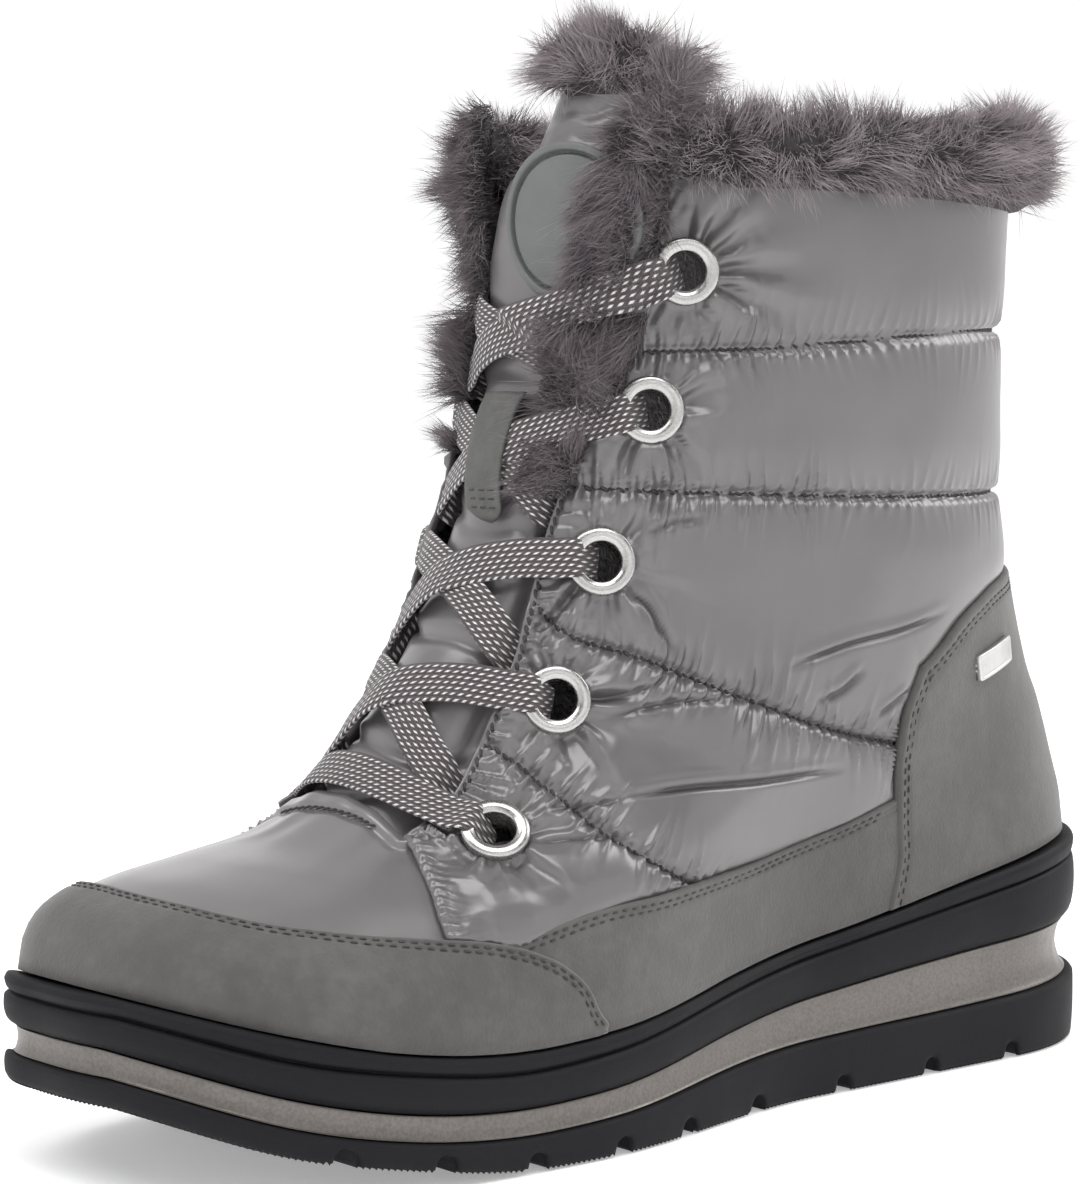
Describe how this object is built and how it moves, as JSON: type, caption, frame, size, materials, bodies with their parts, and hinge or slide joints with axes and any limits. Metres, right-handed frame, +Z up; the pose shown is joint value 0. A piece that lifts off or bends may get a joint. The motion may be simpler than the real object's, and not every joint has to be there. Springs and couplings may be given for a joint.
{
  "type": "ankle boot",
  "caption": "Lace-up winter ankle boot for the left foot: quilted padded shaft, fur cuff and tongue, leather rands, lugged sole with a tapered wedge.",
  "frame": {"origin": "on the ground under the tread block half way along the outsole, on the foot's centre line", "axes": "+Z up, +Y from toe to heel, +X towards the outer side of the left foot"},
  "size_m": [0.1102, 0.2765, 0.2312],
  "materials": {
    "rubber": "matt black moulded rubber",
    "midsole": "satin black moulded foam rubber",
    "wedge_foil": "fine-grained metallic taupe",
    "felt": "grey felt and fleece",
    "quilted_nylon": "satin metallic grey nylon, quilted",
    "leather": "nubuck-like matt grey-taupe leather",
    "steel": "satin silver metal",
    "badge_rubber": "matt grey moulded rubber",
    "lace": "flat woven, dark taupe with white dashes",
    "fur": "deep soft taupe-grey faux fur"
  },
  "bodies": {
    "root": {"outsole": "rubber", "wedge": "wedge_foil", "midsole": "midsole", "insole": "felt", "upper": "quilted_nylon", "toe_rand": "leather", "side_rand_outer": "leather", "side_rand_inner": "leather", "heel_counter": "leather", "heel_plate": "steel", "tongue": "quilted_nylon", "tongue_badge": "badge_rubber", "lace_keeper": "leather", "lace_crossing_1": "lace", "lace_crossing_2": "lace", "lace_crossing_3": "lace", "lace_lowest": "lace", "fur_collar": "fur", "fur_tongue": "fur", "eyelet_outer_1": "steel", "eyelet_outer_2": "steel", "eyelet_outer_3": "steel", "eyelet_outer_4": "steel", "eyelet_outer_5": "steel", "eyelet_inner_1": "steel", "eyelet_inner_2": "steel", "eyelet_inner_3": "steel", "eyelet_inner_4": "steel", "eyelet_inner_5": "steel"}
  },
  "joints": []
}
